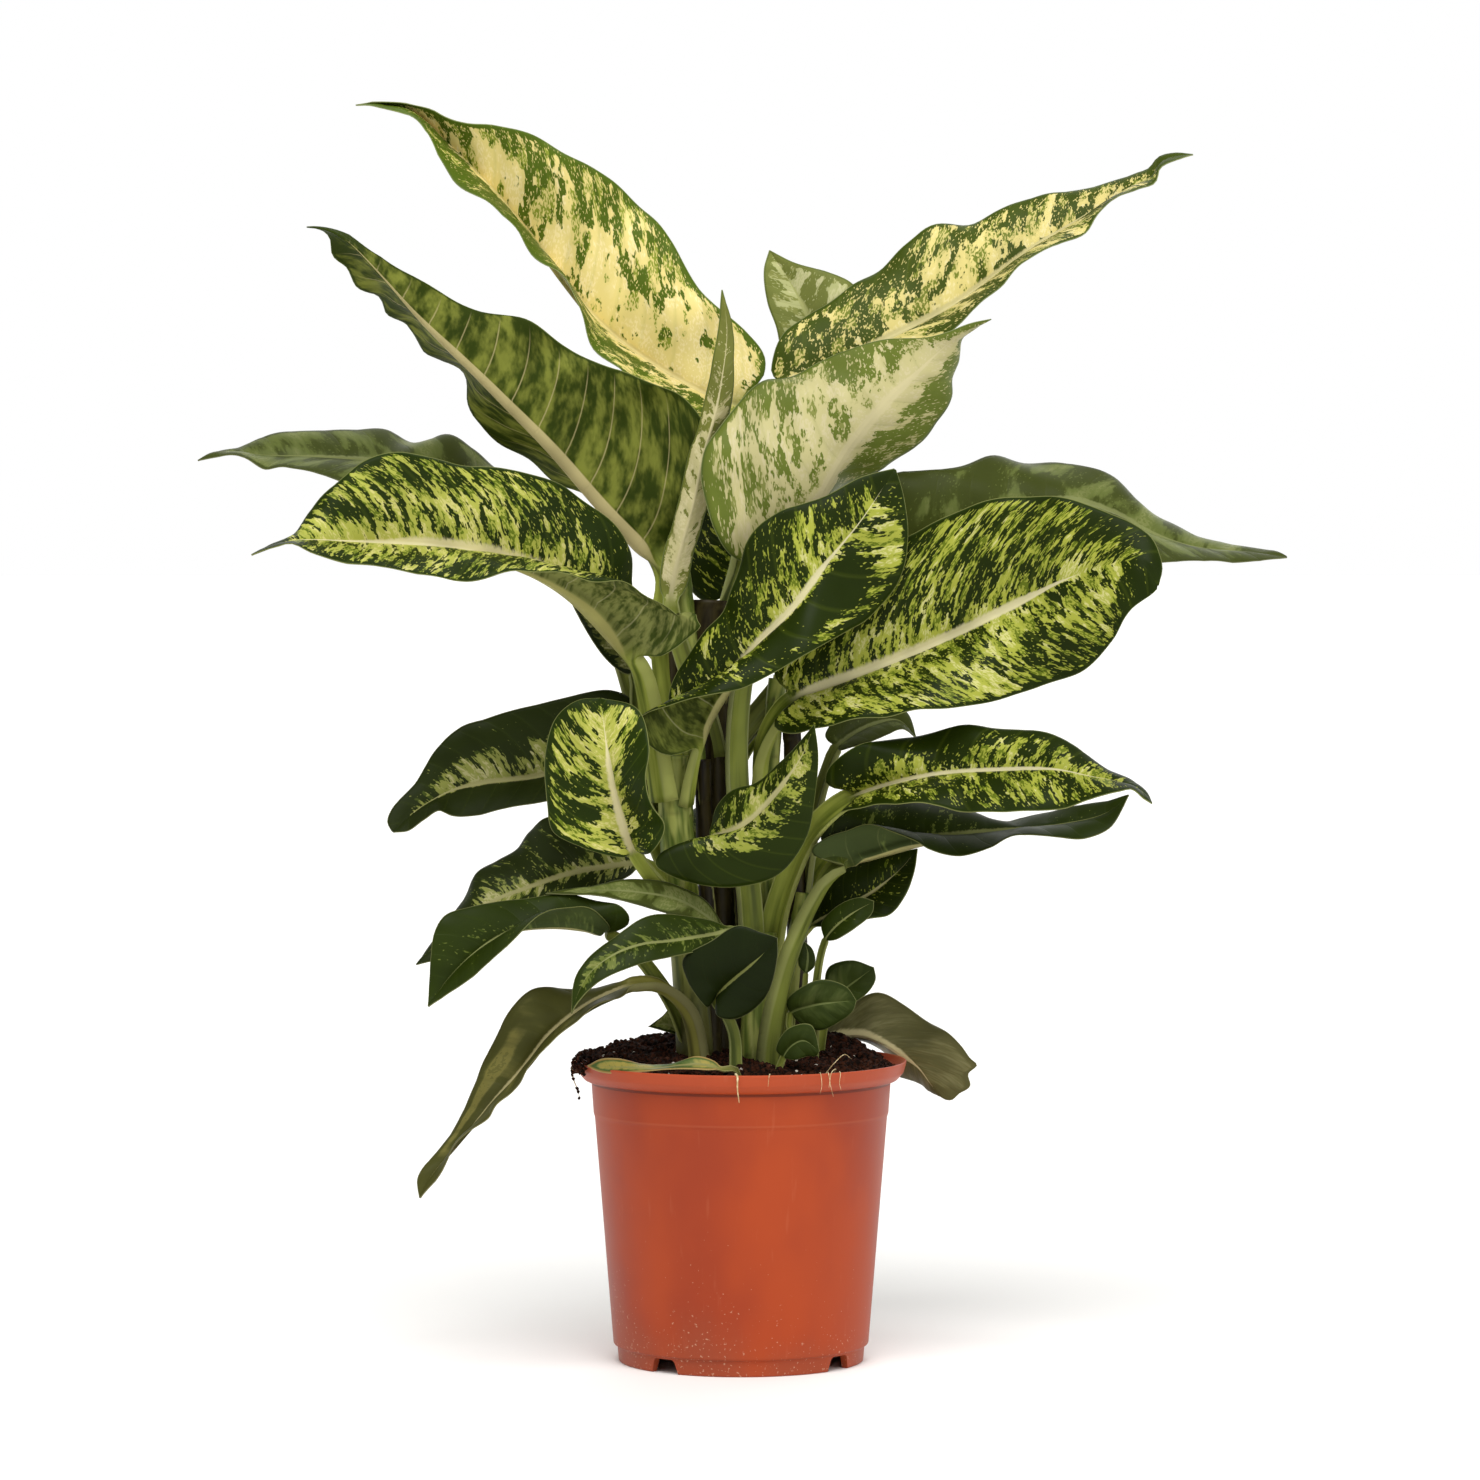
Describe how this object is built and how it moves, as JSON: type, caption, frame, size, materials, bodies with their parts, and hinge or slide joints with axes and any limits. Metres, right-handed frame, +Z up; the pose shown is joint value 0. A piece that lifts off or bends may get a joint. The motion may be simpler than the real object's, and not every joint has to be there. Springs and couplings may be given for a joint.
{
  "type": "potted plant",
  "caption": "Bushy dieffenbachia with upright green canes and cream-speckled lance-shaped leaves, in a tapered terracotta-coloured plastic nursery pot with dark soil.",
  "frame": {"origin": "centre of the pot's foot, on the surface that the pot stands on", "axes": "+Z up along the pot's axis, -Y towards the front, +X to the right seen from the front"},
  "size_m": [0.629, 0.3068, 0.7234],
  "materials": {
    "leaf_variegated": "satin, dark green with cream and yellow-green speckles along the veins",
    "leaf_green": "satin, dark green with a pale midrib",
    "cane": "satin, green with lengthwise streaks and leaf scars",
    "root": "matt, dry",
    "pot": "satin, dusty near the foot",
    "soil": "matt, crumbly, with white specks"
  },
  "bodies": {
    "root": {"cane_left": "cane", "cane_back": "cane", "cane_centre": "cane", "cane_right": "cane", "leaf_crown_left": "leaf_variegated", "leaf_upper_left": "leaf_green", "leaf_crown_right": "leaf_variegated", "leaf_crown_small": "leaf_variegated", "leaf_rolled": "leaf_variegated", "leaf_crown_front": "leaf_variegated", "leaf_centre": "leaf_variegated", "leaf_broad_right": "leaf_variegated", "leaf_back_right": "leaf_variegated", "leaf_back_left": "leaf_variegated", "leaf_broad_left": "leaf_variegated", "leaf_dark_left": "leaf_green", "leaf_low_left": "leaf_green", "leaf_side_left": "leaf_variegated", "leaf_heart": "leaf_variegated", "leaf_middle_right": "leaf_variegated", "leaf_twisted_right": "leaf_green", "leaf_shaded_right": "leaf_green", "leaf_small_right": "leaf_green", "leaf_curled_right": "leaf_green", "leaf_round_back": "leaf_green", "leaf_round_front": "leaf_green", "leaf_tiny_right": "leaf_green", "leaf_drooping_right": "leaf_green", "leaf_drooping_left": "leaf_green", "leaf_streaked_left": "leaf_green", "leaf_arched_left": "leaf_green", "leaf_pale_left": "leaf_green", "leaf_front_left": "leaf_green", "leaf_dark_front": "leaf_green", "leaf_yellowing": "leaf_green", "leaf_base_right": "leaf_green", "leaf_sprout_left": "leaf_green", "leaf_behind_upper": "leaf_variegated", "leaf_behind_left": "leaf_variegated", "leaf_behind_right": "leaf_variegated", "leaf_behind_low_left": "leaf_green", "leaf_behind_low_right": "leaf_green", "leaf_behind_low": "leaf_green", "root_thread": "root", "pot": "pot", "soil": "soil"}
  },
  "joints": []
}
